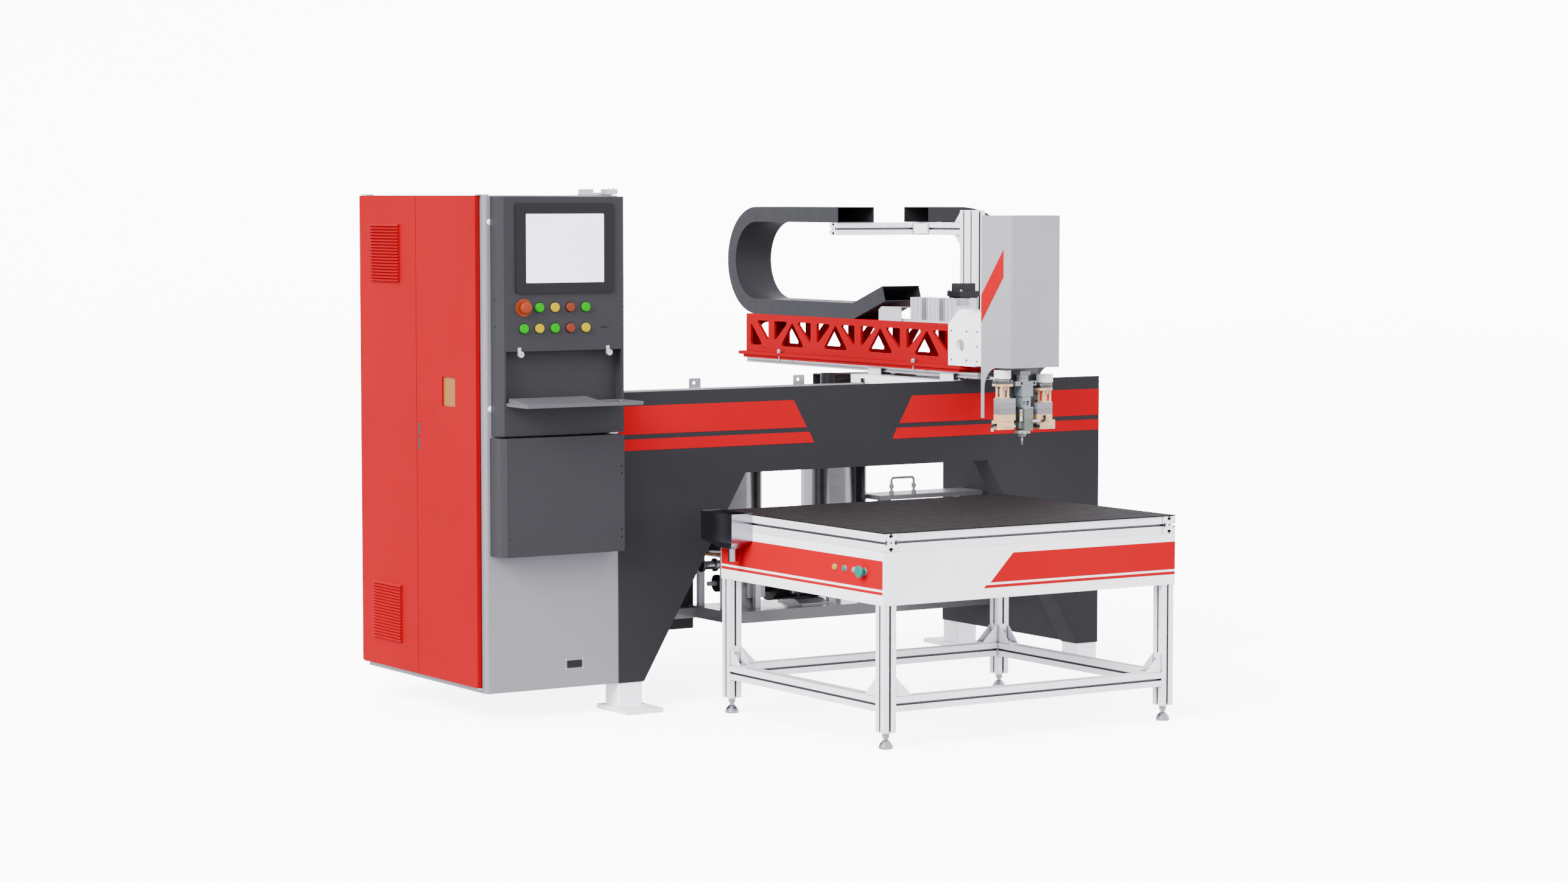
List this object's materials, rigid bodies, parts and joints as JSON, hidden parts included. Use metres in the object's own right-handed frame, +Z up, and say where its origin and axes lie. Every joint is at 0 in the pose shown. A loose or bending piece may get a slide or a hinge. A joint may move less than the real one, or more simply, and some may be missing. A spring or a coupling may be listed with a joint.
{
  "type": "gantry dispensing machine",
  "caption": "Portal-mounted two-part dispensing machine with truss arm, mixing head, supply tanks, switch cabinet, swing-out control boxes and a free-standing work table.",
  "frame": {"origin": "centre of the footprint of machine and table, on the floor", "axes": "+X to the right along the portal, +Y from the table to the rear, +Z up"},
  "size_m": [2.9832, 2.8834, 1.883],
  "materials": {
    "portal_paint": "semi-gloss light grey paint",
    "anthracite": "satin dark grey paint",
    "red_paint": "gloss red paint",
    "cabinet_grey": "satin grey paint",
    "copper_plate": "satin orange-brown",
    "amber_window": "tinted clear",
    "black_plastic": "fine matt",
    "plain_steel": "ground",
    "rail_steel": "ground and lightly oiled",
    "screen_unit": "dark frame with glossy screen",
    "bright_steel": "polished",
    "orange_plastic": "glossy",
    "green_button": "glossy",
    "yellow_button": "glossy",
    "brown_red_button": "glossy",
    "key_grey": "matt",
    "carriage_white": "satin white, green below the plate",
    "block_white": "satin",
    "slotted_profile": "anodised",
    "motor_black": "matt black",
    "duct_grey": "matt dark grey",
    "white_plate": "satin white",
    "block_alu": "milled",
    "cover_grey": "satin light grey paint",
    "slide_steel": "milled",
    "valve_bronze": "milled, dull",
    "head_steel": "milled",
    "shelf_grey": "satin grey paint",
    "tank_steel": "polished stainless",
    "pump_steel": "milled",
    "heat_grey": "milled",
    "panel_white": "semi-gloss white paint",
    "mat_brown": "fine matt",
    "foot_zinc": "zinc plated",
    "turquoise": "glossy",
    "pale_button": "glossy"
  },
  "bodies": {
    "machine": {"portal_frame": "portal_paint", "portal_cladding": "anthracite", "portal_stripes": "red_paint", "side_cladding": "anthracite", "cabinet_body": "cabinet_grey", "mounting_plate": "copper_plate", "box_pivot": "plain_steel", "x_rails": "rail_steel", "pump_shelf": "shelf_grey", "tanks": "tank_steel", "metering_pumps": "pump_steel", "pump_motors": "motor_black", "heat_plate": "heat_grey", "table_frame": "slotted_profile", "table_panels": "panel_white", "table_stripes": "red_paint", "table_mat": "mat_brown", "table_feet": "foot_zinc", "catch_cup": "block_alu"},
    "rear_door": {"rear_door": "red_paint"},
    "front_door": {"front_door": "red_paint", "door_window": "amber_window"},
    "latch_upper": {"latch_upper": "black_plastic"},
    "latch_lower": {"latch_lower": "black_plastic"},
    "upper_box": {"hmi_box": "anthracite", "hmi_screen": "screen_unit", "tray_catches": "bright_steel", "estop_collar": "orange_plastic"},
    "lower_box": {"lower_box": "anthracite"},
    "tray": {"keyboard_tray": "anthracite", "keyboard": "key_grey"},
    "estop_button": {"estop_button": "orange_plastic"},
    "carriage": {"x_carriage": "carriage_white", "linear_blocks": "block_white", "chain_mast": "slotted_profile", "drive_motor": "motor_black"},
    "x_duct": {"x_chain": "duct_grey"},
    "y_duct": {"y_chain": "duct_grey"},
    "arm": {"truss_arm": "red_paint", "arm_rails": "rail_steel", "arm_end_plates": "white_plate", "valve_blocks": "block_alu", "head_cover": "cover_grey", "cover_stripe": "red_paint"},
    "head": {"head_slide": "slide_steel", "metering_valves": "valve_bronze", "mixing_head": "head_steel"},
    "button_a2": {"button_a2": "green_button"},
    "button_a3": {"button_a3": "yellow_button"},
    "button_a4": {"button_a4": "brown_red_button"},
    "button_a5": {"button_a5": "green_button"},
    "button_b1": {"button_b1": "green_button"},
    "button_b2": {"button_b2": "yellow_button"},
    "button_b3": {"button_b3": "green_button"},
    "button_b4": {"button_b4": "brown_red_button"},
    "button_b5": {"button_b5": "yellow_button"},
    "table_button_1": {"table_button_1": "yellow_button"},
    "table_button_2": {"table_button_2": "turquoise"},
    "table_button_3": {"table_button_3": "pale_button"},
    "table_mushroom": {"table_mushroom": "turquoise"}
  },
  "joints": [
    {"name": "rear_door_hinge", "type": "hinge", "parent": "machine", "child": "rear_door", "pos_m": [-1.46657, 0.75333, 0.99], "axis": [0, 0, -1], "range_deg": [0, 110]},
    {"name": "front_door_hinge", "type": "hinge", "parent": "machine", "child": "front_door", "pos_m": [-1.46657, -0.15268, 0.99], "axis": [0, 0, 1], "range_deg": [0, 90]},
    {"name": "latch_upper_turn", "type": "hinge", "parent": "front_door", "child": "latch_upper", "pos_m": [-1.47657, 0.28132, 1.0375], "axis": [0, 1, 0], "range_deg": [0, 30]},
    {"name": "latch_lower_turn", "type": "hinge", "parent": "front_door", "child": "latch_lower", "pos_m": [-1.47657, 0.28132, 0.9835], "axis": [0, 1, 0], "range_deg": [0, 30]},
    {"name": "upper_box_swing", "type": "hinge", "parent": "machine", "child": "upper_box", "pos_m": [-0.96598, -0.21668, 1.435], "axis": [0, 0, 1], "range_deg": [0, 90]},
    {"name": "lower_box_swing", "type": "hinge", "parent": "machine", "child": "lower_box", "pos_m": [-0.96598, -0.21668, 0.8], "axis": [0, 0, 1], "range_deg": [0, 90]},
    {"name": "tray_fold", "type": "hinge", "parent": "upper_box", "child": "tray", "pos_m": [-1.17928, -0.24768, 1.1265], "axis": [-1, 0, 0], "range_deg": [0, 90]},
    {"name": "estop_press", "type": "slide", "parent": "upper_box", "child": "estop_button", "axis": [0, 1, 0], "range_m": [0, 0.004]},
    {"name": "button_a2_press", "type": "slide", "parent": "upper_box", "child": "button_a2", "axis": [0, 1, 0], "range_m": [0, 0.004], "stiffness_N_per_m": 400},
    {"name": "button_a3_press", "type": "slide", "parent": "upper_box", "child": "button_a3", "axis": [0, 1, 0], "range_m": [0, 0.004], "stiffness_N_per_m": 400},
    {"name": "button_a4_press", "type": "slide", "parent": "upper_box", "child": "button_a4", "axis": [0, 1, 0], "range_m": [0, 0.004], "stiffness_N_per_m": 400},
    {"name": "button_a5_press", "type": "slide", "parent": "upper_box", "child": "button_a5", "axis": [0, 1, 0], "range_m": [0, 0.004], "stiffness_N_per_m": 400},
    {"name": "button_b1_press", "type": "slide", "parent": "upper_box", "child": "button_b1", "axis": [0, 1, 0], "range_m": [0, 0.004], "stiffness_N_per_m": 400},
    {"name": "button_b2_press", "type": "slide", "parent": "upper_box", "child": "button_b2", "axis": [0, 1, 0], "range_m": [0, 0.004], "stiffness_N_per_m": 400},
    {"name": "button_b3_press", "type": "slide", "parent": "upper_box", "child": "button_b3", "axis": [0, 1, 0], "range_m": [0, 0.004], "stiffness_N_per_m": 400},
    {"name": "button_b4_press", "type": "slide", "parent": "upper_box", "child": "button_b4", "axis": [0, 1, 0], "range_m": [0, 0.004], "stiffness_N_per_m": 400},
    {"name": "button_b5_press", "type": "slide", "parent": "upper_box", "child": "button_b5", "axis": [0, 1, 0], "range_m": [0, 0.004], "stiffness_N_per_m": 400},
    {"name": "table_button_1_press", "type": "slide", "parent": "machine", "child": "table_button_1", "axis": [1, 0, 0], "range_m": [0, 0.004], "stiffness_N_per_m": 400},
    {"name": "table_button_2_press", "type": "slide", "parent": "machine", "child": "table_button_2", "axis": [1, 0, 0], "range_m": [0, 0.004], "stiffness_N_per_m": 400},
    {"name": "table_button_3_press", "type": "slide", "parent": "machine", "child": "table_button_3", "axis": [1, 0, 0], "range_m": [0, 0.004], "stiffness_N_per_m": 400},
    {"name": "table_mushroom_press", "type": "slide", "parent": "machine", "child": "table_mushroom", "axis": [1, 0, 0], "range_m": [0, 0.004], "stiffness_N_per_m": 400},
    {"name": "long_axis", "type": "slide", "parent": "machine", "child": "carriage", "axis": [-1, 0, 0], "range_m": [0, 1.18]},
    {"name": "x_duct_roll", "type": "slide", "parent": "machine", "child": "x_duct", "axis": [-1, 0, 0], "range_m": [0, 0.59]},
    {"name": "arm_axis", "type": "slide", "parent": "carriage", "child": "arm", "axis": [0, -1, 0], "range_m": [0, 0.9]},
    {"name": "y_duct_roll", "type": "slide", "parent": "carriage", "child": "y_duct", "axis": [0, -1, 0], "range_m": [0, 0.45]},
    {"name": "head_axis", "type": "slide", "parent": "arm", "child": "head", "axis": [0, 0, -1], "range_m": [0, 0.17]}
  ],
  "couplings": [
    {"joint": "x_duct_roll", "follows": "long_axis", "ratio": 0.5},
    {"joint": "y_duct_roll", "follows": "arm_axis", "ratio": 0.5}
  ]
}
